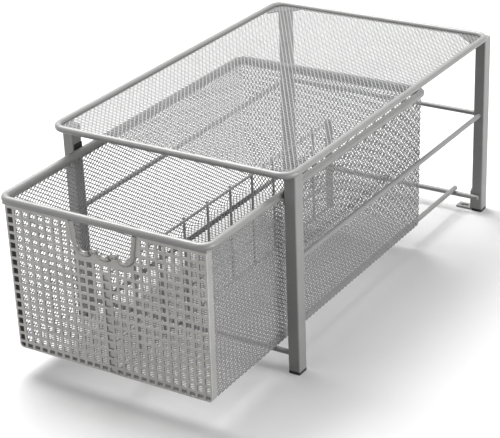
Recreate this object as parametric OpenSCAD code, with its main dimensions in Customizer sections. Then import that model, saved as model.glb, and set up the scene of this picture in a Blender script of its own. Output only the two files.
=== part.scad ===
// Pull-out cabinet basket: a wire-rimmed mesh shelf on four tube legs, with a mesh basket
// that slides on two runner rods below it.
// Millimetres. +X right, +Y to the back, +Z up. The origin is on the floor, in the middle of
// the whole object with its basket drawn out.

/* [Shelf] */
// Width of the shelf, between the centres of its side rims
shelf_w = 250; // [220:1:320]
// Depth of the shelf, between the centres of its front and back rims
shelf_d = 402; // [360:1:460]
// Height of the centre of the shelf rim above the floor
shelf_h = 198.5; // [190:0.5:240]
// Diameter of the shelf rim rod
shelf_rim_d = 6.5; // [5:0.1:8]
// Bend radius of the shelf rim at its corners, to the centre of the rod
shelf_corner_r = 13; // [10:0.5:20]
// Thickness of the shelf mesh
shelf_mesh_t = 0.8; // [0.5:0.1:1.2]
// Distance that the shelf mesh lies below the centre of the rim
shelf_mesh_drop = 0.9; // [0.6:0.1:1.3]
// Reach of a corner gusset along the front or back rim
gusset_w = 34; // [24:1:50]
// Reach of a corner gusset along the side rim
gusset_d = 30; // [24:1:50]
// Thickness of a corner gusset
gusset_t = 1.5; // [1:0.1:1.6]

/* [Legs] */
// Width of a leg tube, across the shelf
leg_w = 11.7; // [9:0.1:14]
// Depth of a leg tube, along the shelf
leg_d = 13; // [10:0.1:18]
// Wall of a leg tube
leg_wall = 1.2; // [0.8:0.1:2]
// Outer corner radius of a leg tube
leg_corner_r = 1.3; // [0.8:0.1:2]
// Distance from the centre of the side rim in to the outer face of a leg
leg_inset = 1.4; // [1:0.1:4]
// Distance from the centre of the front rim back to the front face of a front leg
front_leg_setback = 11.7; // [8:0.1:20]
// Distance that a back leg starts in front of the centre of the back rim
back_leg_lead = 2; // [0:0.1:8]
// Height of the rubber foot below the tube
foot_h = 3; // [2:0.1:5]
// Length of the foot's plug inside the tube
foot_plug = 9; // [5:0.5:15]
// Radial clearance between the plug and the tube
plug_clearance = 0.1; // [0.05:0.01:0.2]

/* [Rods] */
// Diameter of the cross rods, side rods and runner rods
rod_d = 5; // [4:0.1:6]
// Height of the side rods
side_rod_z = 110.3; // [70:0.1:140]
// Height of the upper cross rod at the back
back_rod_z = 109.8; // [70:0.1:140]
// Height of the two lower cross rods
lower_rod_z = 17.4; // [12:0.1:25]
// Distance that the lower back rod stops short of the outer face of a leg
lower_rod_stop = 3; // [0:0.1:6]
// Distance from the inner face of a leg in to the centre of a runner rod
runner_inset = 19.5; // [16:0.1:40]
// Distance that a runner rod reaches past the centre of each lower cross rod
runner_overhang = 3; // [3:0.1:8]

/* [Floor brackets] */
// Thickness of a floor bracket
bracket_t = 1.6; // [1:0.1:2.5]
// Width of a floor bracket, along the shelf
bracket_w = 11; // [9:0.5:12]
// Height of the upright that is welded to the leg
bracket_h = 24; // [15:1:40]
// Length of the tab that lies on the cabinet floor, from the leg
bracket_tab = 18; // [16:0.5:24]
// Height of the tab's underside above the floor
bracket_lift = 0.3; // [0.1:0.1:1]
// Width of the screw slot
slot_w = 4.2; // [3:0.1:5]
// Length of the screw slot from end to end
slot_l = 9; // [6:0.1:10]
// Distance from the leg to the centre of the slot
slot_reach = 10.4; // [9:0.1:12]
// Corner chamfer at the top of the upright
bracket_chamfer = 2; // [1:0.5:4]

/* [Basket] */
// Running gap between the basket rim and the inner face of a leg
rim_gap = 1.9; // [0.9:0.05:2.5]
// Length by which the basket is shorter than the shelf
basket_short = 7; // [3:0.5:60]
// Diameter of the basket rim
basket_rim_d = 7; // [6:0.1:7.6]
// Drop from the centre of the shelf rim to the centre of the basket rim
rim_drop = 26.3; // [20:0.1:60]
// Bend radius of the basket rim at its corners, to the centre of the rim
basket_corner_r = 10; // [8:0.5:18]
// Height of the skirt below the rim that clamps the edge of the sheet
skirt_h = 1.7; // [1:0.1:6]
// Thickness of the skirt
skirt_t = 1.2; // [0.8:0.1:1.5]
// Distance from the centre of the rim in to the outer face of the walls
wall_inset = 2.2; // [2:0.1:3]
// Distance that each side wall leans in, from the rim down to the floor
side_lean = 1.3; // [0:0.1:6]
// Thickness of the mesh walls and floor
mesh_t = 0.8; // [0.5:0.1:1.2]
// Outer bend radius between the side walls and the floor
bend_r = 3.5; // [2.5:0.5:10]
// Running gap between the basket floor and the runner rods
glide_gap = 0.3; // [0.2:0.05:0.5]
// Distance that the basket is drawn out of the shelf
drawn_out = 101.1; // [0:0.1:170]

/* [Front panel] */
// Thickness of the perforated sheet
panel_t = 1; // [0.8:0.1:1.2]
// Depth of the plain flange that the panel folds back along the sides and the floor
flange_d = 8; // [5:0.5:12]
// Side of a square perforation
hole = 5.6; // [4:0.1:6]
// Spacing of the perforations across the panel
column_pitch = 8.3; // [7:0.05:10]
// Spacing of the perforations up the panel
row_pitch = 8.3; // [7:0.05:10]
// Least width of the plain border beside the outermost perforations
panel_border = 1.6; // [1.4:0.1:20]
// Distance from the top edge of the panel to the centre of the first row
first_row_drop = 8; // [7:0.1:12]
// Width of the plain strip that trims perforations along the panel's edges and folds
plain_edge = 1.5; // [1.4:0.05:3]

/* [Finger notch] */
// Width of the notch at the rim
notch_top_w = 62; // [58:0.5:80]
// Spacing of the finger scallops
scallop_pitch = 20.8; // [18:0.1:24]
// Depth of the scallops from crest to trough
scallop_depth = 5; // [3:0.1:7]
// Height of the notch, from its lowest point to the top edge of the panel
notch_h = 29; // [20:0.5:40]
// Diameter of the rolled edge around the notch
lip_d = 5; // [2:0.1:5.4]
// Clearance between the rolled edge and the rim skirt
lip_clearance = 0.2; // [0.1:0.05:0.5]
// Width of the plain sheet kept between the rolled edge and a perforation
lip_margin = 0.6; // [0.5:0.1:3]

/* [Divider] */
// Diameter of the divider wires
wire_d = 2.6; // [2:0.1:3.5]
// Distance from the top edge of the walls down to the top of the divider
divider_drop = 44.3; // [36:0.1:100]
// Height of the middle wire above the basket floor
middle_wire_h = 29.4; // [15:0.1:50]
// Spacing of the divider posts
post_pitch = 39.2; // [25:0.1:60]
// Distance from the front panel to the first post
first_post = 43; // [20:0.1:60]
// Width of the flat straps at the ends of the divider
strap_w = 8; // [5:0.5:12]
// Thickness of the straps
strap_t = 1.2; // [0.8:0.1:2]

/* [Mesh openings] */
// Rows of diamond openings across the shelf
shelf_columns = 6; // [4:1:12]
// Rows of diamond openings along the shelf
shelf_rows = 10; // [4:1:12]
// Rows of diamond openings along the basket
basket_rows = 10; // [4:1:12]
// Rows of diamond openings up a side wall and across the back
wall_columns = 4; // [3:1:8]
// Rows of diamond openings across the floor on each side of the divider
floor_columns = 2; // [2:1:6]
// Size of an opening as a share of its mesh cell
opening_share = 0.72; // [0.5:0.01:0.8]
// Width of the plain sheet around the edges of each meshed field
mesh_border = 4; // [2.5:0.5:12]

/* [Fits] */
// Gap at joints that are welded or clamped face to face
seam = 0.1; // [0.02:0.01:0.15]
// Thickness of the plastic pad between a front leg and the basket rim
pad_t = 0.6; // [0.4:0.05:0.8]
// Height of the plastic pad
pad_h = 13; // [8:0.5:20]
// Width of the plastic pad's bare border on the leg face
pad_border = 0.8; // [0.5:0.1:2]

/* [Hidden] */
$fn = 48;

LEFT = -1;
RIGHT = 1;

// The shelf along Y: its front rim is placed so that the whole object is centred on the origin.
front_reach = drawn_out + basket_rim_d / 2;
back_reach = shelf_d - back_leg_lead + leg_d;
shelf_front = (front_reach - back_reach) / 2;
shelf_back = shelf_front + shelf_d;
shelf_mid = (shelf_front + shelf_back) / 2;

// Legs
leg_outer = shelf_w / 2 - leg_inset;
leg_x = leg_outer - leg_w / 2;
leg_inner = leg_outer - leg_w;
front_leg_y = shelf_front + front_leg_setback + leg_d / 2;
back_leg_y = shelf_back - back_leg_lead + leg_d / 2;
leg_top = shelf_h - shelf_rim_d / 2 - seam;

// Rods
side_rod_x = leg_x;
runner_x = leg_inner - runner_inset;
back_lower_y = back_leg_y - leg_d / 2 - rod_d / 2;
runner_z = lower_rod_z + rod_d;
rod_end_gap = seam;

// Gussets and mesh lie inside the shelf rim.
gusset_z = leg_top + seam;
gusset_edge = shelf_rim_d / 2 - 0.25;
shelf_mesh_z = shelf_h - shelf_mesh_drop - shelf_mesh_t / 2;
shelf_mesh_edge = shelf_rim_d / 2 + 0.05;

// Basket
basket_w = 2 * (leg_inner - rim_gap) - basket_rim_d;
basket_d = shelf_d - basket_short;
basket_rim_z = shelf_h - rim_drop;
basket_front = shelf_front - drawn_out;
basket_back = basket_front + basket_d;
basket_mid = (basket_front + basket_back) / 2;
basket_floor = runner_z + rod_d / 2 + glide_gap;
wall_x = basket_w / 2 - wall_inset;
wall_top = basket_rim_z - basket_rim_d / 2 - seam;
panel_front = basket_front + wall_inset;
panel_back = panel_front + panel_t;
wrap_front = panel_front + flange_d + seam;
back_wall_outer = basket_back - wall_inset;
back_wall_inner = back_wall_outer - mesh_t;

// Field of openings on the walls: its height, and the height of its middle.
wall_field_h = wall_top - basket_floor - bend_r - 2 * mesh_border;
wall_field_z = (wall_top + basket_floor + bend_r) / 2;

// Perforations: columns on each side of the middle one, and rows below the short row at the top
// edge, down to the short row that the bottom fold trims.
side_columns = floor((wall_x - panel_border - hole / 2) / column_pitch);
hole_rows = 1 + floor((wall_top - first_row_drop - basket_floor) / row_pitch);

// Finger notch. The rolled edge is a run of arcs: troughs and crests of one radius, whose
// centres are a half pitch apart.
quarter_pitch = scallop_pitch / 4;
scallop_r = (quarter_pitch * quarter_pitch + pow(scallop_depth / 2, 2)) / scallop_depth;
scallop_angle = 2 * atan(scallop_depth / 2 / quarter_pitch);
notch_bottom = wall_top - notch_h;
trough_z = notch_bottom + scallop_r;
crest_z = notch_bottom + scallop_depth - scallop_r;
lip_r = lip_d / 2;
lip_facets = 16;
// A hairline joint at both ends of each trough keeps the arcs of the rolled edge apart, so that
// only the sheet joins them. It is given as an angle.
lip_joint = 0.2;
notch_side_x = scallop_pitch + scallop_r;
notch_lean = atan((notch_top_w / 2 - notch_side_x) / (wall_top - trough_z));
skirt_bottom = basket_rim_z - basket_rim_d / 2 - skirt_h;
lip_top = skirt_bottom - lip_clearance;

// Divider. Posts stand beside the three long wires and touch them.
divider_floor = basket_floor + max(mesh_t, panel_t) + seam;
divider_top = wall_top - divider_drop;
wire_x = (wire_d + seam) / 2;
divider_front = panel_back + seam;
divider_back = back_wall_inner - seam;
wire_front = divider_front + strap_t + seam;
wire_back = divider_back - strap_t - seam;
last_post = wire_back - wire_d / 2 - seam;
post_count = floor((last_post - panel_back - first_post) / post_pitch) + 1;

// Brackets
bracket_y = back_leg_y;
bracket_x = leg_inner - seam;
slot_x = leg_inner - slot_reach;

pad_x = leg_inner - seam;

steel = "silver";
dark_steel = "darkgray";
black = [0.08, 0.08, 0.08];

// A rectangle with round corners, centred on the origin.
module rounded_rect(w, d, r) {
    square([w - 2 * r, d], center = true);
    square([w, d - 2 * r], center = true);
    for (x = [-1, 1], y = [-1, 1])
        translate([x * (w / 2 - r), y * (d / 2 - r)]) circle(r);
}

// Round rods: one along X, centred on the origin, and one along Y, from the origin.
module rod_x(length, d) rotate([0, 90, 0]) cylinder(h = length, d = d, center = true);
module rod_y(length, d) rotate([-90, 0, 0]) cylinder(h = length, d = d);

// A closed loop of round rod in the XY plane, centred on the origin.
module rod_loop(w, d, r, rod) {
    for (s = [-1, 1]) {
        translate([0, s * d / 2, 0]) rod_x(w - 2 * r, rod);
        translate([s * w / 2, -d / 2 + r, 0]) rod_y(d - 2 * r, rod);
    }
    corner_x = w / 2 - r;
    corner_y = d / 2 - r;
    for (c = [[1, 1, 0], [-1, 1, 90], [-1, -1, 180], [1, -1, 270]])
        translate([c[0] * corner_x, c[1] * corner_y, 0]) rotate(c[2])
            rotate_extrude(angle = 90) translate([r, 0]) circle(d = rod);
}

// Diamond openings in a field w wide and l long: one in each cell of a grid, and one on each
// corner where four cells meet. The strips left between them are the strands of the mesh.
module diamonds(w, l, columns, rows) {
    cell_w = w / columns;
    cell_l = l / rows;
    a = opening_share * cell_w / 2;
    b = opening_share * cell_l / 2;
    for (shift = [0, 1], i = [0 : columns - 1 - shift], j = [0 : rows - 1 - shift])
        translate([(i + (1 + shift) / 2) * cell_w - w / 2, (j + (1 + shift) / 2) * cell_l - l / 2])
            polygon([[-a, 0], [0, -b], [a, 0], [0, b]]);
}

// ---- Shelf ----

module shelf_rim() {
    color(steel) translate([0, shelf_mid, shelf_h])
        rod_loop(shelf_w, shelf_d, shelf_corner_r, shelf_rim_d);
}

// The space inside the shelf rim, at a distance from the centre of its rod.
module inside_rim(edge) {
    rounded_rect(shelf_w - 2 * edge, shelf_d - 2 * edge, shelf_corner_r - edge);
}

module shelf_mesh() {
    inset = 2 * (shelf_mesh_edge + mesh_border);
    color(steel) translate([0, shelf_mid, shelf_mesh_z]) linear_extrude(shelf_mesh_t) difference() {
        inside_rim(shelf_mesh_edge);
        diamonds(shelf_w - inset, shelf_d - inset, shelf_columns, shelf_rows);
    }
}

// A triangular plate in one corner of the rim. side is LEFT or RIGHT, end is -1 front or 1 back.
module gusset(side, end) {
    corner_x = side * shelf_w / 2;
    corner_y = end * shelf_d / 2;
    color(steel) translate([0, shelf_mid, gusset_z]) linear_extrude(gusset_t) intersection() {
        inside_rim(gusset_edge);
        polygon([[corner_x, corner_y], [corner_x - side * gusset_w, corner_y],
            [corner_x, corner_y - end * gusset_d]]);
    }
}

// ---- Legs ----

module leg(side, y) {
    color(dark_steel) translate([side * leg_x, y, foot_h]) difference() {
        linear_extrude(leg_top - foot_h) rounded_rect(leg_w, leg_d, leg_corner_r);
        translate([0, 0, -1]) linear_extrude(leg_top - foot_h - leg_wall + 1)
            square([leg_w - 2 * leg_wall, leg_d - 2 * leg_wall], center = true);
    }
}

module foot(side, y) {
    plug_cut = 2 * (leg_wall + plug_clearance);
    color(black) translate([side * leg_x, y, 0]) {
        linear_extrude(foot_h) rounded_rect(leg_w, leg_d, leg_corner_r);
        linear_extrude(foot_h + foot_plug)
            square([leg_w - plug_cut, leg_d - plug_cut], center = true);
    }
}

// ---- Rods ----

module side_rod(side) {
    start = front_leg_y + leg_d / 2 + rod_end_gap;
    end = back_leg_y - leg_d / 2 - rod_end_gap;
    color(steel) translate([side * side_rod_x, start, side_rod_z]) rod_y(end - start, rod_d);
}

// A rod between the inner faces of two legs.
module rod_between_legs(y, z) {
    color(steel) translate([0, y, z]) rod_x(2 * (leg_inner - rod_end_gap), rod_d);
}

module back_lower_rod() {
    color(steel) translate([0, back_lower_y - seam, lower_rod_z])
        rod_x(2 * (leg_outer - lower_rod_stop), rod_d);
}

module runner(side) {
    start = front_leg_y - runner_overhang;
    end = back_lower_y + runner_overhang;
    color(steel) translate([side * runner_x, start, runner_z]) rod_y(end - start, rod_d);
}

// ---- Floor brackets ----

module bracket(side) {
    chamfer = bracket_chamfer;
    color(steel) translate([side * bracket_x, bracket_y, bracket_lift]) {
        rotate([90, 0, -side * 90]) linear_extrude(bracket_t)
            polygon([[-bracket_w / 2, 0], [bracket_w / 2, 0],
                [bracket_w / 2, bracket_h - chamfer], [bracket_w / 2 - chamfer, bracket_h],
                [-bracket_w / 2 + chamfer, bracket_h], [-bracket_w / 2, bracket_h - chamfer]]);
        linear_extrude(bracket_t) difference() {
            translate([-side * bracket_tab / 2, 0])
                square([bracket_tab, bracket_w], center = true);
            translate([side * (slot_x - bracket_x), 0]) for (s = [-1, 1]) {
                square([slot_l - slot_w, slot_w], center = true);
                translate([s * (slot_l - slot_w) / 2, 0]) circle(d = slot_w);
            }
        }
    }
}

module rim_pad(side) {
    color(black) translate([side * (pad_x - pad_t / 2), front_leg_y, basket_rim_z])
        cube([pad_t, leg_d - 2 * pad_border, pad_h], center = true);
}

// ---- Basket ----

// Half-open outline of the basket seen from the front: x across, y up. in is the distance
// inside the outer face.
module basket_section(in) {
    top = wall_x - in;
    low = top - side_lean;
    bottom = basket_floor + in;
    r = bend_r - in;
    polygon([[-top, wall_top], [-low, bottom + r], [-low + r, bottom], [low - r, bottom],
        [low, bottom + r], [top, wall_top]]);
    for (s = [-1, 1]) translate([s * (low - r), bottom + r]) circle(r);
}

// The same outline, cut open at the top when it is used as a cutter.
module basket_hollow(in) {
    basket_section(in);
    translate([-wall_x + in, wall_top - 1]) square([2 * (wall_x - in), 3]);
}

// A shape drawn in x and z, from one y to another.
module along_y(from, to) {
    translate([0, to, 0]) rotate([90, 0, 0]) linear_extrude(to - from) children();
}

module basket_rim() {
    skirt_out = wall_inset - seam - skirt_t;
    skirt_in = wall_inset - seam;
    rim_bottom = basket_rim_z - basket_rim_d / 2;
    color(steel) translate([0, basket_mid, 0]) {
        translate([0, 0, basket_rim_z])
            rod_loop(basket_w, basket_d, basket_corner_r, basket_rim_d);
        translate([0, 0, skirt_bottom]) linear_extrude(rim_bottom + 1 - skirt_bottom)
            difference() {
                square([basket_w - 2 * skirt_out, basket_d - 2 * skirt_out], center = true);
                square([basket_w - 2 * skirt_in, basket_d - 2 * skirt_in], center = true);
            }
    }
}

// ---- Front panel ----

// Cut-out for the notch, grown by g beyond its edge.
module notch_shape(g) {
    junction_z = trough_z - (scallop_r + g) * sin(scallop_angle);
    junction_x = scallop_pitch + (scallop_r + g) * cos(scallop_angle);
    side_x = notch_side_x + g / cos(notch_lean);
    top_z = wall_top + 5;
    top_x = side_x + (top_z - trough_z) * tan(notch_lean);
    difference() {
        union() {
            polygon([[-top_x, top_z], [-side_x, trough_z], [-junction_x, junction_z],
                [junction_x, junction_z], [side_x, trough_z], [top_x, top_z]]);
            for (i = [-1, 0, 1]) translate([i * scallop_pitch, trough_z]) circle(scallop_r + g);
        }
        for (s = [-1, 1]) translate([s * scallop_pitch / 2, crest_z]) circle(scallop_r - g);
    }
}

// True where the centre of a perforation at x, z lies outside the rolled edge.
function clear_of_lip(x, z) =
    let (reach = lip_d + lip_margin,
        side = notch_side_x + max(0, z - trough_z) * tan(notch_lean) + reach)
    z < notch_bottom - reach || abs(x) > side;

// Square holes, trimmed where they meet the rolled edge, the top edge or the folds.
module perforations() {
    intersection() {
        translate([0, -plain_edge]) basket_section(0);
        basket_section(plain_edge);
        difference() {
            for (row = [-1 : hole_rows - 1], column = [-side_columns : side_columns]) {
                x = column * column_pitch;
                z = wall_top - first_row_drop - row * row_pitch;
                if (clear_of_lip(x, z)) translate([x, z]) square(hole, center = true);
            }
            notch_shape(lip_d + lip_margin);
        }
    }
}

// One arc of the rolled edge, about a centre in the plane of the panel.
module lip_arc(x, z, r, from, sweep) {
    translate([x, 0, z]) rotate([90, 0, 0]) rotate([0, 0, from])
        rotate_extrude(angle = sweep) translate([r, 0]) circle(lip_r, $fn = lip_facets);
}

// A straight stretch that goes on from such an arc at one angle, forwards (1) or backwards (-1).
module lip_side(x, z, r, at, length, way) {
    translate([x, 0, z]) rotate([90, 0, 0]) rotate([0, 0, at]) translate([r, 0, 0])
        rotate([-90 * way, 0, 0]) cylinder(h = length, r = lip_r, $fn = lip_facets);
}

module notch_lip() {
    down = 270;
    trough_r = scallop_r + lip_r;
    half_sweep = 90 - scallop_angle;
    side_start = trough_z - trough_r * sin(notch_lean);
    side_length = (lip_top - lip_r * sin(notch_lean) - side_start) / cos(notch_lean);
    translate([0, (panel_front + panel_back) / 2, 0]) {
        for (i = [-1, 0, 1]) {
            from = (i == -1 ? 180 + notch_lean : down - half_sweep) + lip_joint;
            to = (i == 1 ? 360 - notch_lean : down + half_sweep) - lip_joint;
            lip_arc(i * scallop_pitch, trough_z, trough_r, from, to - from);
        }
        for (s = [-1, 1])
            lip_arc(s * scallop_pitch / 2, crest_z, scallop_r - lip_r, scallop_angle,
                2 * half_sweep);
        lip_side(-scallop_pitch, trough_z, trough_r, 180 + notch_lean, side_length, -1);
        lip_side(scallop_pitch, trough_z, trough_r, 360 - notch_lean, side_length, 1);
    }
}

module front_panel() {
    color(dark_steel) {
        difference() {
            along_y(panel_front, panel_front + flange_d) basket_section(0);
            along_y(panel_back, panel_front + flange_d + 1) basket_hollow(panel_t);
            along_y(panel_front - 1, panel_back + 1) perforations();
            along_y(panel_front - 1, panel_back + 1) notch_shape(lip_r);
        }
        notch_lip();
    }
}

// ---- Mesh ----

// The sheet that makes both sides and the floor. A plain band runs under the divider.
module mesh_wrap() {
    wrap_back = back_wall_inner - seam;
    field_l = wrap_back - wrap_front - 2 * mesh_border;
    bay_w = wall_x - side_lean - bend_r - mesh_border - strap_w / 2;
    color(steel) difference() {
        along_y(wrap_front, wrap_back) basket_section(0);
        along_y(wrap_front - 1, wrap_back + 1) basket_hollow(mesh_t);
        translate([0, (wrap_front + wrap_back) / 2, 0]) {
            translate([-wall_x - 1, 0, wall_field_z]) rotate([90, 0, 90])
                linear_extrude(2 * wall_x + 2)
                    rotate(90) diamonds(wall_field_h, field_l, wall_columns, basket_rows);
            for (side = [LEFT, RIGHT])
                translate([side * (strap_w + bay_w) / 2, 0, basket_floor - 1])
                    linear_extrude(mesh_t + 2) diamonds(bay_w, field_l, floor_columns, basket_rows);
        }
    }
}

module back_mesh() {
    field_w = 2 * (wall_x - side_lean - bend_r);
    color(steel) along_y(back_wall_inner, back_wall_outer) difference() {
        basket_section(0);
        translate([0, wall_field_z]) diamonds(field_w, wall_field_h, wall_columns, wall_columns);
    }
}

// ---- Divider ----

module divider_wire(z) {
    color(steel) translate([wire_x, wire_front, z]) rod_y(wire_back - wire_front, wire_d);
}

module divider_posts() {
    color(steel) for (i = [0 : post_count - 1])
        translate([-wire_x, panel_back + first_post + i * post_pitch, divider_floor])
            cylinder(h = divider_top - divider_floor, d = wire_d);
}

module divider_strap(from) {
    color(steel) translate([-strap_w / 2, from, divider_floor])
        cube([strap_w, strap_t, divider_top - divider_floor]);
}

shelf_rim();
shelf_mesh();
gusset(LEFT, -1);  // gusset_front_left
gusset(RIGHT, -1);  // gusset_front_right
gusset(LEFT, 1);  // gusset_back_left
gusset(RIGHT, 1);  // gusset_back_right
leg(LEFT, front_leg_y);  // leg_front_left
leg(RIGHT, front_leg_y);  // leg_front_right
leg(LEFT, back_leg_y);  // leg_back_left
leg(RIGHT, back_leg_y);  // leg_back_right
foot(LEFT, front_leg_y);  // foot_front_left
foot(RIGHT, front_leg_y);  // foot_front_right
foot(LEFT, back_leg_y);  // foot_back_left
foot(RIGHT, back_leg_y);  // foot_back_right
side_rod(LEFT);  // side_rod_left
side_rod(RIGHT);  // side_rod_right
rod_between_legs(back_leg_y, back_rod_z);  // back_upper_rod
back_lower_rod();
rod_between_legs(front_leg_y, lower_rod_z);  // front_lower_rod
runner(LEFT);  // runner_left
runner(RIGHT);  // runner_right
bracket(LEFT);  // bracket_left
bracket(RIGHT);  // bracket_right
rim_pad(LEFT);  // rim_pad_left
rim_pad(RIGHT);  // rim_pad_right
basket_rim();
front_panel();
mesh_wrap();
back_mesh();
divider_wire(divider_top - wire_d / 2);  // divider_top_wire
divider_wire(divider_floor + middle_wire_h);  // divider_middle_wire
divider_wire(divider_floor + wire_d / 2);  // divider_bottom_wire
divider_posts();
divider_strap(divider_front);  // divider_front_strap
divider_strap(divider_back - strap_t);  // divider_back_strap
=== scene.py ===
"""Looks of a pull-out cabinet basket: expanded mesh, powder coat, rubber and a studio."""

import math

import bmesh
import bpy
import numpy as np
from bpy.props import FloatProperty, FloatVectorProperty, PointerProperty
from mathutils import Matrix, Vector


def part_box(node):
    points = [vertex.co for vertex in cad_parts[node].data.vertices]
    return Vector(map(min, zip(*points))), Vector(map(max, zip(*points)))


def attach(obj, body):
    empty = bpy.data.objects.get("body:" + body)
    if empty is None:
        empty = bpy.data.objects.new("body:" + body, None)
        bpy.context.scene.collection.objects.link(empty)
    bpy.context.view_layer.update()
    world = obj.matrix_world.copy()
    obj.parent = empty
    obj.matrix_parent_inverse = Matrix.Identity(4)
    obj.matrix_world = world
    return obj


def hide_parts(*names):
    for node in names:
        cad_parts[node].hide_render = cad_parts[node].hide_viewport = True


bl_info = {
    "name": "Pull-out cabinet basket",
    "version": (1, 0, 0),
    "blender": (4, 5, 0),
    "location": "View3D > Sidebar > Cabinet Basket",
    "description": "Dresses the cabinet basket in mesh, powder coat and rubber, in a studio",
    "category": "Object",
}

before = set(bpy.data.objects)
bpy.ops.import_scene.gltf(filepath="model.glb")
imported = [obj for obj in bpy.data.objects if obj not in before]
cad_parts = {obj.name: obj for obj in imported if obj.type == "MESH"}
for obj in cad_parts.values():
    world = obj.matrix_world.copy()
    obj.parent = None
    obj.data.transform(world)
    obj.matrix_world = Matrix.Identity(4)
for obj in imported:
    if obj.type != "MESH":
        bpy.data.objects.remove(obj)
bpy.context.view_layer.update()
MM = 0.001

# Sizes of the CAD solids that their boxes don't give: half the thickness of the mesh walls, the
# shelf mesh's corner radius, the panel's thickness, the distance from the panel's face back to
# the mesh wrap, and how far a side wall leans in for each metre down from a height.
HALF_SHEET = 0.4 * MM
SHELF_MESH_CORNER = 0.0098
PANEL_THICKNESS = MM
WRAP_SETBACK = 8.1 * MM
WALL_LEAN = 0.0091
LEAN_START = 0.17

# The part of the panel that holds the notch's rolled edge: half its width, and its underside.
NEAR_NOTCH_HALF = 42 * MM
NEAR_NOTCH_LOW = 128 * MM

# Keeps a division from meeting zero.
TINY = 1e-9

SHELF = "shelf_frame"
BASKET = "basket"

LEGS = ("leg_front_left", "leg_front_right", "leg_back_left", "leg_back_right")
FEET = ("foot_front_left", "foot_front_right", "foot_back_left", "foot_back_right")
GUSSETS = ("gusset_front_left", "gusset_front_right", "gusset_back_left", "gusset_back_right")
RODS = ("side_rod_left", "side_rod_right", "back_upper_rod", "back_lower_rod", "front_lower_rod",
        "runner_left", "runner_right")
BRACKETS = ("bracket_left", "bracket_right")
DIVIDER = ("divider_top_wire", "divider_middle_wire", "divider_bottom_wire", "divider_posts")


# ---------------------------------------------------------------- sizes and colours


class MeshSizes(bpy.types.PropertyGroup):
    """Sizes of the expanded metal."""

    short_way: FloatProperty(name="Short way", description="Short diagonal of a diamond cell",
                             default=4.2 * MM, unit="LENGTH")
    long_way: FloatProperty(name="Long way", description="Long diagonal of a diamond cell",
                            default=6.3 * MM, unit="LENGTH")
    strand: FloatProperty(name="Strand", description="Width of a strand", default=0.8 * MM,
                          unit="LENGTH")
    thickness: FloatProperty(name="Thickness", description="Thickness of the sheet",
                             default=0.5 * MM, unit="LENGTH")
    bond: FloatProperty(name="Bond", description="Length of the joint between two strands",
                        default=1.7 * MM, unit="LENGTH")
    tilt: FloatProperty(name="Tilt", description="Turn of each strand about its own length",
                        default=math.radians(11), subtype="ANGLE")


class Finishes(bpy.types.PropertyGroup):
    """Colours of the finishes."""

    steel: FloatVectorProperty(name="Steel", description="Silver-grey coat of rods and legs",
                               default=(0.27, 0.27, 0.267), subtype="COLOR", size=3)
    panel: FloatVectorProperty(name="Panel", description="Coat of the perforated front",
                               default=(0.53, 0.52, 0.5), subtype="COLOR", size=3)
    mesh: FloatVectorProperty(name="Mesh", description="Coat of the expanded metal",
                              default=(0.26, 0.26, 0.26), subtype="COLOR", size=3)
    rubber: FloatVectorProperty(name="Rubber", description="Rubber of the feet",
                                default=(0.012, 0.012, 0.012), subtype="COLOR", size=3)


class StudioSettings(bpy.types.PropertyGroup):
    """Lamps, floor, surroundings and camera."""

    focal_length: FloatProperty(name="Focal length", description="Camera lens in millimetres",
                                default=120.05)
    back_power: FloatProperty(name="Back lamp", description="Power of the softbox behind",
                              default=45.0, unit="POWER")
    top_power: FloatProperty(name="Top lamp", description="Power of the softbox overhead",
                             default=8.0, unit="POWER")
    side_power: FloatProperty(name="Side lamp", description="Power of the softbox at the right",
                              default=26.0, unit="POWER")
    front_power: FloatProperty(name="Front lamp", description="Power of the softbox in front",
                               default=7.0, unit="POWER")
    sky: FloatProperty(name="Surroundings", description="Brightness of the room's walls",
                       default=0.2)
    floor_glow: FloatProperty(name="Floor glow", description="Glow that makes the floor white",
                              default=0.09)
    shadow_reach: FloatProperty(name="Shadow reach", description="Where the floor starts to pale",
                                default=0.4, unit="LENGTH")
    floor_tone: FloatProperty(name="Floor tone", description="Tone of the light off the floor",
                              default=0.35, min=0.0, max=1.0)
    paper_tone: FloatProperty(name="Paper tone", description="Tone of the floor where it is seen",
                              default=0.7, min=0.0, max=1.0)


# ---------------------------------------------------------------- shader nodes


def node(tree, kind, inputs=None, **settings):
    """A new node, with its settings, and its inputs by name or number as values or links."""
    made = tree.nodes.new(kind)
    for name, value in settings.items():
        setattr(made, name, value)
    for name, value in (inputs or {}).items():
        socket = made.inputs[name]
        if isinstance(value, bpy.types.NodeSocket):
            tree.links.new(value, socket)
        else:
            socket.default_value = value
    return made


def new_group(name, kind, inputs, outputs):
    """A node group with its sockets: {name: (type, default or None)} and {name: type}."""
    tree = bpy.data.node_groups.new(name, kind)
    for socket, (socket_type, default) in inputs.items():
        made = tree.interface.new_socket(socket, in_out="INPUT", socket_type=socket_type)
        if default is not None:
            made.default_value = default
    for socket, socket_type in outputs.items():
        tree.interface.new_socket(socket, in_out="OUTPUT", socket_type=socket_type)
    return tree, tree.nodes.new("NodeGroupInput"), tree.nodes.new("NodeGroupOutput")


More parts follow.
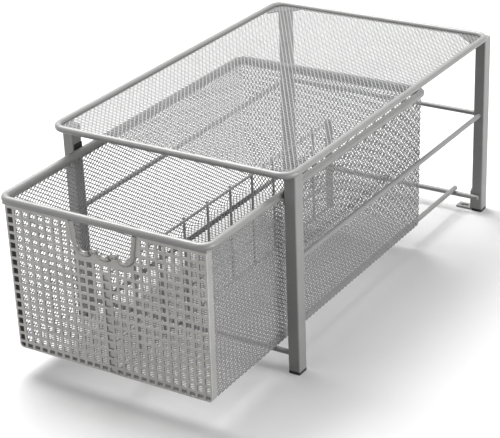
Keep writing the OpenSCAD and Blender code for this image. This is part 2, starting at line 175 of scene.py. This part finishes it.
def powder_coat_group():
    """Speckle, cloudiness and orange peel of a metallic powder coat."""
    name = "powder_coat"
    if name in bpy.data.node_groups:
        return bpy.data.node_groups[name]
    tree, given, result = new_group(
        name, "ShaderNodeTree",
        {"Color": ("NodeSocketColor", (0.4, 0.4, 0.4, 1.0)),
         "Speckle Size": ("NodeSocketFloat", 0.0006),
         "Speckle": ("NodeSocketFloat", 0.12),
         "Cloudiness": ("NodeSocketFloat", 0.06),
         "Roughness": ("NodeSocketFloat", 0.36)},
        {"Color": "NodeSocketColor", "Roughness": "NodeSocketFloat", "Height": "NodeSocketFloat"})
    place = node(tree, "ShaderNodeTexCoord").outputs["Object"]
    density = node(tree, "ShaderNodeMath", {0: 1.0, 1: given.outputs["Speckle Size"]},
                   operation="DIVIDE").outputs[0]
    grain = node(tree, "ShaderNodeTexNoise",
                 {"Vector": place, "Scale": density, "Detail": 2.0, "Roughness": 0.6})
    cloud = node(tree, "ShaderNodeTexNoise", {"Vector": place, "Scale": 28.0, "Detail": 3.0})
    speckle = node(tree, "ShaderNodeMapRange",
                   {"Value": grain.outputs["Fac"], "From Min": 0.25, "From Max": 0.75,
                    "To Min": -1.0, "To Max": 1.0})
    patch = node(tree, "ShaderNodeMapRange",
                 {"Value": cloud.outputs["Fac"], "From Min": 0.3, "From Max": 0.7,
                  "To Min": -1.0, "To Max": 1.0})
    fine = node(tree, "ShaderNodeMath", {0: speckle.outputs[0], 1: given.outputs["Speckle"]},
                operation="MULTIPLY").outputs[0]
    broad = node(tree, "ShaderNodeMath", {0: patch.outputs[0], 1: given.outputs["Cloudiness"]},
                 operation="MULTIPLY").outputs[0]
    change = node(tree, "ShaderNodeMath", {0: fine, 1: broad}, operation="ADD").outputs[0]
    gain = node(tree, "ShaderNodeMath", {0: 1.0, 1: change}, operation="ADD").outputs[0]
    colour = node(tree, "ShaderNodeVectorMath", {0: given.outputs["Color"], "Scale": gain},
                  operation="SCALE").outputs["Vector"]
    rough = node(tree, "ShaderNodeMath", {0: given.outputs["Roughness"], 1: gain},
                 operation="MULTIPLY").outputs[0]
    tree.links.new(colour, result.inputs["Color"])
    tree.links.new(rough, result.inputs["Roughness"])
    tree.links.new(speckle.outputs[0], result.inputs["Height"])
    return tree


def new_material(name, roughness=0.5, metallic=0.0, specular=0.5):
    """A new material, its node tree, and its shader with these plain values."""
    material = bpy.data.materials.new(name)
    material.use_nodes = True
    shader = material.node_tree.nodes["Principled BSDF"]
    shader.inputs["Metallic"].default_value = metallic
    shader.inputs["Roughness"].default_value = roughness
    shader.inputs["Specular IOR Level"].default_value = specular
    return material, material.node_tree, shader


def coat_material(name, colour, roughness, metallic, specular=0.4, speckle=0.1,
                  cloudiness=0.05, bump=0.05):
    """Powder-coated steel."""
    if name in bpy.data.materials:
        return bpy.data.materials[name]
    material, tree, shader = new_material(name, roughness, metallic, specular)
    coat = node(tree, "ShaderNodeGroup", node_tree=powder_coat_group(), name="coat")
    coat.inputs["Color"].default_value = (*colour, 1.0)
    coat.inputs["Roughness"].default_value = roughness
    coat.inputs["Speckle"].default_value = speckle
    coat.inputs["Cloudiness"].default_value = cloudiness
    relief = node(tree, "ShaderNodeBump",
                  {"Height": coat.outputs["Height"], "Strength": bump, "Distance": 0.0002})
    tree.links.new(coat.outputs["Color"], shader.inputs["Base Color"])
    tree.links.new(coat.outputs["Roughness"], shader.inputs["Roughness"])
    tree.links.new(relief.outputs["Normal"], shader.inputs["Normal"])
    return material


def steel_material():
    """Coat of the rods, legs and plates."""
    finish = bpy.context.scene.basket_finishes
    return coat_material("silver_coat", finish.steel, roughness=0.4, metallic=0.14)


def panel_parts_group(face, inner_half, lean, floor):
    """Masks of the front panel for its painted shade: punched edges, rolled edge, and the folds'
    insides and outsides; the rolled edge is also made glossier.

    face is the y of the panel's front, inner_half and lean set the line half way through the
    side folds, and floor is the height half way through the bottom fold.
    """
    name = "panel_parts"
    if name in bpy.data.node_groups:
        return bpy.data.node_groups[name]
    tree, given, result = new_group(
        name, "ShaderNodeTree",
        {"Front": ("NodeSocketFloat", face),
         "Thickness": ("NodeSocketFloat", PANEL_THICKNESS),
         "Half Width": ("NodeSocketFloat", inner_half), "Lean": ("NodeSocketFloat", lean),
         "Floor": ("NodeSocketFloat", floor)},
        {"Hole Wall Shade": "NodeSocketFloat", "Rolled Edge Shade And Gloss": "NodeSocketFloat", "Inside": "NodeSocketFloat",
         "Fold Outside Shade": "NodeSocketFloat"})
    take = given.outputs

    def calc(operation, a, b=0.0):
        return node(tree, "ShaderNodeMath", {0: a, 1: b}, operation=operation).outputs[0]

    place = node(tree, "ShaderNodeSeparateXYZ",
                 {0: node(tree, "ShaderNodeTexCoord").outputs["Object"]}).outputs
    depth = calc("SUBTRACT", place["Y"], take["Front"])
    sliver = 0.1 * MM
    past_face = calc("GREATER_THAN", depth, sliver)
    past_back = calc("GREATER_THAN", depth, calc("ADD", take["Thickness"], sliver))
    in_sheet = calc("MULTIPLY", past_face,
                    calc("LESS_THAN", depth, calc("SUBTRACT", take["Thickness"], sliver)))
    width = calc("SUBTRACT", take["Half Width"],
                 calc("MULTIPLY", take["Lean"], calc("SUBTRACT", LEAN_START, place["Z"])))
    across = calc("ABSOLUTE", place["X"])
    inside = calc("MULTIPLY", calc("LESS_THAN", across, width),
                  calc("GREATER_THAN", place["Z"], take["Floor"]))
    near_notch = calc("MULTIPLY", calc("LESS_THAN", across, NEAR_NOTCH_HALF),
                      calc("GREATER_THAN", place["Z"], NEAR_NOTCH_LOW))
    behind = calc("MULTIPLY", past_back, near_notch)
    proud = calc("LESS_THAN", depth, -sliver)
    rolled = calc("MAXIMUM", proud, behind)
    back = calc("MULTIPLY", past_back, calc("SUBTRACT", 1.0, near_notch))
    tree.links.new(calc("MULTIPLY", in_sheet, inside), result.inputs["Hole Wall Shade"])
    tree.links.new(rolled, result.inputs["Rolled Edge Shade And Gloss"])
    tree.links.new(calc("MULTIPLY", back, inside), result.inputs["Inside"])
    outside = calc("SUBTRACT", 1.0, inside)
    tree.links.new(calc("MULTIPLY", back, outside), result.inputs["Fold Outside Shade"])
    return tree


def panel_material():
    """Coat of the perforated front, glossy on the rolled edge, with painted shade that darkens
    the punched edges, the folds and the rolled edge.
    """
    name = "panel_coat"
    if name in bpy.data.materials:
        return bpy.data.materials[name]
    finish = bpy.context.scene.basket_finishes
    material = coat_material(name, finish.panel, roughness=0.45, metallic=0.1, speckle=0.14,
                             cloudiness=0.1)
    tree = material.node_tree
    shader = tree.nodes["Principled BSDF"]
    corner_a, corner_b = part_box("front_panel")
    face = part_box("mesh_wrap")[0].y - WRAP_SETBACK
    half = PANEL_THICKNESS / 2
    masks = panel_parts_group(face, corner_b.x - half, WALL_LEAN, corner_a.z + half)
    parts = node(tree, "ShaderNodeGroup", node_tree=masks)
    coat = tree.nodes["coat"]
    # Painted shade: these tones darken the coat's colour on the hole walls, the folds' insides
    # and outsides and the rolled edge, in place of the shade those faces get.
    tones = {"Hole Wall Shade": 0.3, "Inside": 0.06, "Rolled Edge Shade And Gloss": 0.5, "Fold Outside Shade": 0.72}
    shade = 1.0
    for part, tone in tones.items():
        step = node(tree, "ShaderNodeMapRange", {"Value": parts.outputs[part], "To Min": 1.0,
                                                 "To Max": tone}).outputs[0]
        shade = node(tree, "ShaderNodeMath", {0: shade, 1: step}, operation="MULTIPLY").outputs[0]
    toned = node(tree, "ShaderNodeVectorMath", {0: coat.outputs["Color"], "Scale": shade},
                 operation="SCALE").outputs["Vector"]
    gloss = node(tree, "ShaderNodeMapRange", {"Value": parts.outputs["Rolled Edge Shade And Gloss"],
                                              "To Min": 0.1, "To Max": 0.6}).outputs[0]
    smooth = node(tree, "ShaderNodeMapRange", {"Value": parts.outputs["Rolled Edge Shade And Gloss"],
                                               "To Min": 1.0, "To Max": 0.5}).outputs[0]
    rough = node(tree, "ShaderNodeMath", {0: coat.outputs["Roughness"], 1: smooth},
                 operation="MULTIPLY").outputs[0]
    tree.links.new(toned, shader.inputs["Base Color"])
    tree.links.new(gloss, shader.inputs["Metallic"])
    tree.links.new(rough, shader.inputs["Roughness"])
    return material


def mesh_material():
    """Coat of the expanded metal."""
    finish = bpy.context.scene.basket_finishes
    return coat_material("mesh_coat", finish.mesh, roughness=0.5, metallic=0.1, specular=0.3)


def strap_material():
    """Coat of the divider's end straps, in the panel's tone; this lighter tone is partly painted
    light, standing in for the light the front strap misses behind the panel.
    """
    finish = bpy.context.scene.basket_finishes
    return coat_material("strap_coat", finish.panel, roughness=0.45, metallic=0.1)


def rubber_material():
    """Matt black rubber with a fine moulded grain."""
    name = "black_rubber"
    if name in bpy.data.materials:
        return bpy.data.materials[name]
    colour = bpy.context.scene.basket_finishes.rubber
    material, tree, shader = new_material(name, roughness=0.7)
    place = node(tree, "ShaderNodeTexCoord").outputs["Object"]
    grain = node(tree, "ShaderNodeTexNoise", {"Vector": place, "Scale": 1500.0, "Detail": 3.0})
    tone = node(tree, "ShaderNodeMapRange",
                {"Value": grain.outputs["Fac"], "To Min": 0.7, "To Max": 1.4}).outputs[0]
    shade = node(tree, "ShaderNodeVectorMath", {0: colour, "Scale": tone}, operation="SCALE")
    relief = node(tree, "ShaderNodeBump",
                  {"Height": grain.outputs["Fac"], "Strength": 0.3, "Distance": 0.0002})
    tree.links.new(shade.outputs["Vector"], shader.inputs["Base Color"])
    tree.links.new(relief.outputs["Normal"], shader.inputs["Normal"])
    return material


def dress(nodes, material):
    """Gives CAD nodes one material."""
    for name in nodes:
        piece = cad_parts[name]
        piece.data.materials.clear()
        piece.data.materials.append(material)


# ---------------------------------------------------------------- expanded metal


def expanded_metal_tree():
    """Crossing strands and their bonds on a flat sheet: X is the short way, Y the long way."""
    name = "expanded_metal"
    if name in bpy.data.node_groups:
        return bpy.data.node_groups[name]
    size = "NodeSocketFloat"
    sizes = bpy.context.scene.basket_mesh_sizes
    tree, given, result = new_group(
        name, "GeometryNodeTree",
        {"Geometry": ("NodeSocketGeometry", None), "Width": (size, 0.1), "Length": (size, 0.1),
         "Short Way": (size, sizes.short_way), "Long Way": (size, sizes.long_way),
         "Strand": (size, sizes.strand), "Thickness": (size, sizes.thickness),
         "Bond": (size, sizes.bond), "Tilt": (size, sizes.tilt),
         "Material": ("NodeSocketMaterial", None)},
        {"Geometry": "NodeSocketGeometry"})
    take = given.outputs

    def calc(operation, a, b=0.0):
        return node(tree, "ShaderNodeMath", {0: a, 1: b}, operation=operation).outputs[0]

    def vector(x=0.0, y=0.0, z=0.0):
        return node(tree, "ShaderNodeCombineXYZ", {0: x, 1: y, 2: z}).outputs[0]

    across = calc("MAXIMUM", calc("ROUND", calc("DIVIDE", take["Width"], take["Short Way"])), 1.0)
    along = calc("MAXIMUM", calc("ROUND", calc("DIVIDE", take["Length"], take["Long Way"])), 1.0)
    cell_x = calc("DIVIDE", take["Width"], across)
    cell_y = calc("DIVIDE", take["Length"], along)
    slant = calc("ARCTAN2", cell_y, cell_x)
    length = calc("SQRT", calc("ADD", calc("MULTIPLY", cell_x, cell_x),
                               calc("MULTIPLY", cell_y, cell_y)))

    def bar(angle):
        """One strand from corner to corner of a cell, tilted about its own length."""
        box = node(tree, "GeometryNodeMeshCube",
                   {"Size": vector(length, take["Strand"], take["Thickness"])}).outputs["Mesh"]
        tilted = node(tree, "GeometryNodeTransform",
                      {"Geometry": box, "Rotation": vector(take["Tilt"])}).outputs[0]
        return node(tree, "GeometryNodeTransform",
                    {"Geometry": tilted, "Rotation": vector(z=angle)}).outputs[0]

    bond_width = calc("MULTIPLY", take["Strand"], 1.35)
    bond = node(tree, "GeometryNodeMeshCube",
                {"Size": vector(bond_width, take["Bond"], take["Thickness"])}).outputs["Mesh"]
    cross = node(tree, "GeometryNodeJoinGeometry")
    for part in (bar(slant), bar(calc("MULTIPLY", slant, -1.0)), bond):
        tree.links.new(part, cross.inputs[0])

    def points(count_x, count_y):
        """A field of points one cell apart, centred on the sheet."""
        return node(tree, "GeometryNodeMeshGrid",
                    {"Size X": calc("MULTIPLY", cell_x, calc("SUBTRACT", count_x, 1.0)),
                     "Size Y": calc("MULTIPLY", cell_y, calc("SUBTRACT", count_y, 1.0)),
                     "Vertices X": count_x, "Vertices Y": count_y}).outputs["Mesh"]

    def spread(shape, field):
        """Copies of a shape on the points of a field."""
        return node(tree, "GeometryNodeInstanceOnPoints",
                    {"Points": field, "Instance": shape}).outputs["Instances"]

    inner_across = calc("SUBTRACT", across, 1.0)
    inner_along = calc("SUBTRACT", along, 1.0)
    sheet = node(tree, "GeometryNodeJoinGeometry")
    tree.links.new(spread(cross.outputs[0], points(across, along)), sheet.inputs[0])
    corner_bonds = spread(bond, points(inner_across, inner_along))
    tree.links.new(corner_bonds, sheet.inputs[0])
    real = node(tree, "GeometryNodeRealizeInstances", {"Geometry": sheet.outputs[0]})
    coated = node(tree, "GeometryNodeSetMaterial",
                  {"Geometry": real.outputs[0], "Material": take["Material"]})
    tree.links.new(coated.outputs[0], result.inputs["Geometry"])
    return tree


def link(piece):
    """Puts an object in the scene."""
    bpy.context.scene.collection.objects.link(piece)
    return piece


def run_tree(name, tree, values):
    """Runs a geometry node tree with these inputs and returns its result as a plain mesh."""
    carrier = link(bpy.data.objects.new(name, bpy.data.meshes.new(name)))
    modifier = carrier.modifiers.new("build", "NODES")
    modifier.node_group = tree
    for socket in tree.interface.items_tree:
        if socket.in_out == "INPUT" and socket.name in values:
            modifier[socket.identifier] = values[socket.name]
    graph = bpy.context.evaluated_depsgraph_get()
    graph.update()
    mesh = bpy.data.meshes.new_from_object(carrier.evaluated_get(graph), depsgraph=graph)
    bpy.data.objects.remove(carrier)
    mesh.name = name
    return mesh


def expanded_sheet(name, width, length):
    """A flat sheet of expanded metal as a mesh, centred on the origin."""
    sizes = bpy.context.scene.basket_mesh_sizes
    return run_tree(name, expanded_metal_tree(), {
        "Width": width, "Length": length, "Short Way": sizes.short_way,
        "Long Way": sizes.long_way, "Strand": sizes.strand, "Thickness": sizes.thickness,
        "Bond": sizes.bond, "Tilt": sizes.tilt, "Material": mesh_material()})


def shape_mesh(mesh, rule):
    """Moves the mesh's points by a rule that takes and returns x, y and z arrays."""
    points = np.empty(len(mesh.vertices) * 3, np.float32)
    mesh.vertices.foreach_get("co", points)
    x, y, z = points.reshape(-1, 3).T.astype(float)
    moved = np.stack(rule(x, y, z), axis=1)
    mesh.vertices.foreach_set("co", moved.astype(np.float32).ravel())
    mesh.update()
    return mesh


def outward(mesh):
    """Recalculates the faces of closed shells to point outwards."""
    shell = bmesh.new()
    shell.from_mesh(mesh)
    bmesh.ops.recalc_face_normals(shell, faces=shell.faces)
    shell.to_mesh(mesh)
    shell.free()
    return mesh


def mesh_piece(name, mesh, body, replaced=()):
    """An object that rides a body and may stand for CAD nodes."""
    piece = link(bpy.data.objects.new(name, mesh))
    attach(piece, body)
    if replaced:
        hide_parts(*replaced)
    return piece


def round_corners(sheet, corner_a, corner_b, radius=SHELF_MESH_CORNER):
    """Pulls the points outside a round-cornered rectangle in x and y onto its corners."""

    def pull(x, y, z):
        middle_x, middle_y = (corner_a.x + corner_b.x) / 2, (corner_a.y + corner_b.y) / 2
        inner_x = (corner_b.x - corner_a.x) / 2 - radius
        inner_y = (corner_b.y - corner_a.y) / 2 - radius
        over_x = np.abs(x - middle_x) - inner_x
        over_y = np.abs(y - middle_y) - inner_y
        reach = np.hypot(over_x, over_y)
        outside = (over_x > 0) & (over_y > 0) & (reach > radius)
        scale = np.where(outside, radius / np.maximum(reach, TINY), 1.0)
        new_x = middle_x + np.sign(x - middle_x) * (inner_x + over_x * scale)
        new_y = middle_y + np.sign(y - middle_y) * (inner_y + over_y * scale)
        return np.where(outside, new_x, x), np.where(outside, new_y, y), z

    return shape_mesh(sheet, pull)


class ShelfMesh(bpy.types.Operator):
    """Expanded metal inside the shelf rim, in a front and a back half"""

    bl_idname = "basket.shelf_mesh"
    bl_label = "Shelf mesh"

    def execute(self, context):
        corner_a, corner_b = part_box("shelf_mesh")
        width = corner_b.x - corner_a.x
        length = (corner_b.y - corner_a.y) / 2
        height = (corner_a.z + corner_b.z) / 2
        for name, start in (("shelf_mesh_front", corner_a.y),
                            ("shelf_mesh_back", corner_a.y + length)):
            sheet = expanded_sheet(name, width, length)
            shape_mesh(sheet, lambda x, y, z: (x, y + start + length / 2, z + height))
            mesh_piece(name, round_corners(sheet, corner_a, corner_b), SHELF,
                       ("shelf_mesh",))
        return {"FINISHED"}


class Tub:
    """The outline of the basket's walls and floor across the basket, from its CAD nodes."""

    def __init__(self):
        corner_a, corner_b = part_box("back_mesh")
        near = 6 * MM
        touching = 0.05 * MM
        self.top_half = corner_b.x - HALF_SHEET
        self.top = corner_b.z
        self.floor = corner_a.z + HALF_SHEET
        points = np.array([v.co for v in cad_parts["back_mesh"].data.vertices])
        near_floor = points[points[:, 2] < corner_a.z + near]
        lowest = points[points[:, 2] < corner_a.z + touching]
        self.low_half = near_floor[:, 0].max() - HALF_SHEET
        self.bend = near_floor[:, 0].max() - lowest[:, 0].max() - HALF_SHEET
        self.wall = self.top - self.floor - self.bend
        self.arc = math.pi / 2 * self.bend

    def half_width(self, z):
        """Half the basket's width at a height."""
        share = np.clip((self.top - z) / self.wall, 0.0, 1.0)
        return self.top_half + (self.low_half - self.top_half) * share

    def fold(self, side, centre_y):
        """Maps a flat sheet down a wall, round the bend and in along half the floor."""

        def rule(x, y, z):
            down = x - x.min() if side > 0 else x.max() - x
            turn = np.clip((down - self.wall) / self.arc, 0.0, 1.0) * math.pi / 2
            inwards = np.clip(down - self.wall - self.arc, 0.0, None)
            drop = np.clip(down, 0.0, self.wall)
            lean = drop / self.wall * (self.low_half - self.top_half)
            radius = self.bend + z
            across = (self.top_half + lean - self.bend) + radius * np.cos(turn) - inwards
            height = self.floor + self.bend + (self.wall - drop) - radius * np.sin(turn)
            return side * across, y + centre_y, height

        return rule

    def stand(self, back_y):
        """Stands a flat sheet up as the back wall, inside the tub's outline."""
        height = self.top - self.floor

        def rule(x, y, z):
            level = y + self.floor + height / 2
            across = x * self.half_width(level) / self.top_half
            over = self.floor + self.bend - level
            side = np.abs(across) - (self.low_half - self.bend)
            reach = np.hypot(over, side)
            outside = (over > 0) & (side > 0) & (reach > self.bend)
            scale = np.where(outside, self.bend / np.maximum(reach, TINY), 1.0)
            rounded = np.sign(across) * (self.low_half - self.bend + side * scale)
            across = np.where(outside, rounded, across)
            level = np.where(outside, self.floor + self.bend - over * scale, level)
            return across, back_y + z, level

        return rule


class BasketMesh(bpy.types.Operator):
    """The sheet that makes the basket's sides and floor, and the sheet at its back"""

    bl_idname = "basket.basket_mesh"
    bl_label = "Basket mesh"

    def execute(self, context):
        tub = Tub()
        corner_a, corner_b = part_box("mesh_wrap")
        length = corner_b.y - corner_a.y
        centre_y = (corner_a.y + corner_b.y) / 2
        flat_width = tub.wall + tub.arc + (tub.low_half - tub.bend)
        for name, side in (("side_mesh_right", 1), ("side_mesh_left", -1)):
            sheet = expanded_sheet(name, flat_width, length)
            mesh_piece(name, outward(shape_mesh(sheet, tub.fold(side, centre_y))), BASKET,
                       ("mesh_wrap",))
        back_a, back_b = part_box("back_mesh")
        back_y = (back_a.y + back_b.y) / 2
        sheet = expanded_sheet("back_mesh_sheet", 2 * tub.top_half, tub.top - tub.floor)
        mesh_piece("back_mesh_sheet", outward(shape_mesh(sheet, tub.stand(back_y))), BASKET,
                   ("back_mesh",))
        return {"FINISHED"}


# ---------------------------------------------------------------- finishes of the CAD nodes


class CoatSteel(bpy.types.Operator):
    """Powder coat on the rims, legs, rods, gussets, brackets and divider"""

    bl_idname = "basket.coat_steel"
    bl_label = "Coat steel"

    def execute(self, context):
        dress(LEGS + GUSSETS + RODS + BRACKETS + DIVIDER + ("shelf_rim", "basket_rim"),
              steel_material())
        dress(("front_panel",), panel_material())
        dress(("divider_front_strap", "divider_back_strap"), strap_material())
        dress(("shelf_mesh", "mesh_wrap", "back_mesh"), mesh_material())
        return {"FINISHED"}


class Rubber(bpy.types.Operator):
    """Black rubber on the feet and the pads; the pads' black also paints the contact shade where
    the basket rim passes the front legs
    """

    bl_idname = "basket.rubber"
    bl_label = "Rubber"

    def execute(self, context):
        # The rim pads' black is partly painted shade, for the dark patch where the basket rim
        # passes the front legs.
        dress(FEET + ("rim_pad_left", "rim_pad_right"), rubber_material())
        return {"FINISHED"}


# ---------------------------------------------------------------- studio


def softbox(name, place, aim, width, height, power):
    """A rectangular lamp that points at a place."""
    lamp = bpy.data.lights.new(name, "AREA")
    lamp.shape = "RECTANGLE"
    lamp.size = width
    lamp.size_y = height
    lamp.energy = power
    piece = link(bpy.data.objects.new(name, lamp))
    piece.location = place
    piece.rotation_euler = (Vector(aim) - Vector(place)).to_track_quat("-Z", "Y").to_euler()
    return piece


def white_where_seen(tree):
    """1 for rays that come straight from the camera or off gloss or through glass."""
    path = node(tree, "ShaderNodeLightPath").outputs
    seen = node(tree, "ShaderNodeMath", {0: path["Is Camera Ray"], 1: path["Is Glossy Ray"]},
                operation="MAXIMUM").outputs[0]
    return node(tree, "ShaderNodeMath", {0: seen, 1: path["Is Transmission Ray"]},
                operation="MAXIMUM").outputs[0]


class Studio(bpy.types.Operator):
    """White floor, softboxes and the camera"""

    bl_idname = "basket.studio"
    bl_label = "Studio"

    def execute(self, context):
        settings = context.scene.basket_studio
        self.floor(settings)
        self.world(settings)
        aim = (0.0, 0.0, 0.1)
        softbox("back_softbox", place=(-0.7, 0.35, 1.55), aim=aim, width=1.1, height=0.9,
                power=settings.back_power)
        softbox("top_softbox", place=(0.1, 0.2, 1.7), aim=aim, width=1.4, height=1.4,
                power=settings.top_power)
        softbox("side_softbox", place=(1.9, 0.1, 0.4), aim=aim, width=1.2, height=0.7,
                power=settings.side_power)
        softbox("front_softbox", place=(-0.9, -1.6, 0.9), aim=aim, width=1.2, height=1.2,
                power=settings.front_power)
        self.camera(settings)
        context.scene.view_settings.view_transform = "Standard"
        return {"FINISHED"}

    def floor(self, settings):
        """Paper that keeps the shadow near the object and is white further off, where seen."""
        mesh = bpy.data.meshes.new("floor")
        reach = 6.0
        mesh.from_pydata([(-reach, -reach, 0), (reach, -reach, 0), (reach, reach, 0),
                          (-reach, reach, 0)], [], [(0, 1, 2, 3)])
        material, tree, shader = new_material("floor_paper", roughness=0.9, specular=0.0)
        seen = white_where_seen(tree)
        tone = node(tree, "ShaderNodeMapRange",
                    {"Value": seen, "To Min": settings.floor_tone,
                     "To Max": settings.paper_tone})
        tree.links.new(tone.outputs[0], shader.inputs["Base Color"])
        away = node(tree, "ShaderNodeVectorMath",
                    {0: node(tree, "ShaderNodeTexCoord").outputs["Object"]}, operation="LENGTH")
        haze = node(tree, "ShaderNodeMapRange",
                    {"Value": away.outputs["Value"], "From Min": settings.shadow_reach,
                     "From Max": 3 * settings.shadow_reach, "To Min": settings.floor_glow,
                     "To Max": 1.0}, interpolation_type="SMOOTHSTEP")
        glow = node(tree, "ShaderNodeEmission", {"Color": (1, 1, 1, 1)})
        strength = node(tree, "ShaderNodeMath", {0: seen, 1: haze.outputs[0]},
                        operation="MULTIPLY")
        tree.links.new(strength.outputs[0], glow.inputs["Strength"])
        both = node(tree, "ShaderNodeAddShader", {0: shader.outputs[0], 1: glow.outputs[0]})
        tree.links.new(both.outputs[0], tree.nodes["Material Output"].inputs["Surface"])
        mesh.materials.append(material)
        link(bpy.data.objects.new("floor", mesh))

    def world(self, settings):
        """Dim surroundings that are white where they are seen."""
        world = bpy.data.worlds.new("studio")
        bpy.context.scene.world = world
        world.use_nodes = True
        tree = world.node_tree
        room = tree.nodes["Background"]
        room.inputs["Color"].default_value = (1, 1, 1, 1)
        strength = node(tree, "ShaderNodeMapRange",
                        {"Value": white_where_seen(tree), "To Min": settings.sky, "To Max": 1.0})
        tree.links.new(strength.outputs[0], room.inputs["Strength"])

    def camera(self, settings):
        """The camera: yaw and pitch aim it, and a slight roll tips the picture."""
        place = (0.7825, -1.2503, 0.76375)
        yaw, pitch, roll = math.radians(32.488), math.radians(25.226), math.radians(-2.18)
        lens = bpy.data.cameras.new("camera")
        lens.lens = settings.focal_length
        lens.sensor_width = 36.0
        lens.clip_start = 0.05
        camera = link(bpy.data.objects.new("camera", lens))
        turn = (Matrix.Rotation(yaw, 4, "Z") @ Matrix.Rotation(math.pi / 2 - pitch, 4, "X")
                @ Matrix.Rotation(roll, 4, "Z"))
        camera.matrix_world = Matrix.Translation(place) @ turn
        bpy.context.scene.camera = camera


# ---------------------------------------------------------------- panel and registration


OPERATORS = (ShelfMesh, BasketMesh, CoatSteel, Rubber, Studio)


class BasketPanel(bpy.types.Panel):
    """Lists the steps that dress the basket"""

    bl_idname = "VIEW3D_PT_cabinet_basket"
    bl_label = "Cabinet Basket"
    bl_space_type = "VIEW_3D"
    bl_region_type = "UI"
    bl_category = "Cabinet Basket"

    def draw(self, context):
        for step in OPERATORS:
            self.layout.operator(step.bl_idname)
        for group in (context.scene.basket_mesh_sizes, context.scene.basket_finishes,
                      context.scene.basket_studio):
            for name in group.__annotations__:
                self.layout.prop(group, name)


CLASSES = (MeshSizes, Finishes, StudioSettings, *OPERATORS, BasketPanel)


def register():
    for item in CLASSES:
        bpy.utils.register_class(item)
    bpy.types.Scene.basket_mesh_sizes = PointerProperty(type=MeshSizes)
    bpy.types.Scene.basket_finishes = PointerProperty(type=Finishes)
    bpy.types.Scene.basket_studio = PointerProperty(type=StudioSettings)


def unregister():
    del bpy.types.Scene.basket_mesh_sizes
    del bpy.types.Scene.basket_finishes
    del bpy.types.Scene.basket_studio
    for item in reversed(CLASSES):
        bpy.utils.unregister_class(item)


def main():
    register()
    bpy.ops.basket.shelf_mesh()
    bpy.ops.basket.basket_mesh()
    bpy.ops.basket.coat_steel()
    bpy.ops.basket.rubber()
    bpy.ops.basket.studio()


if __name__ == "__main__":
    main()
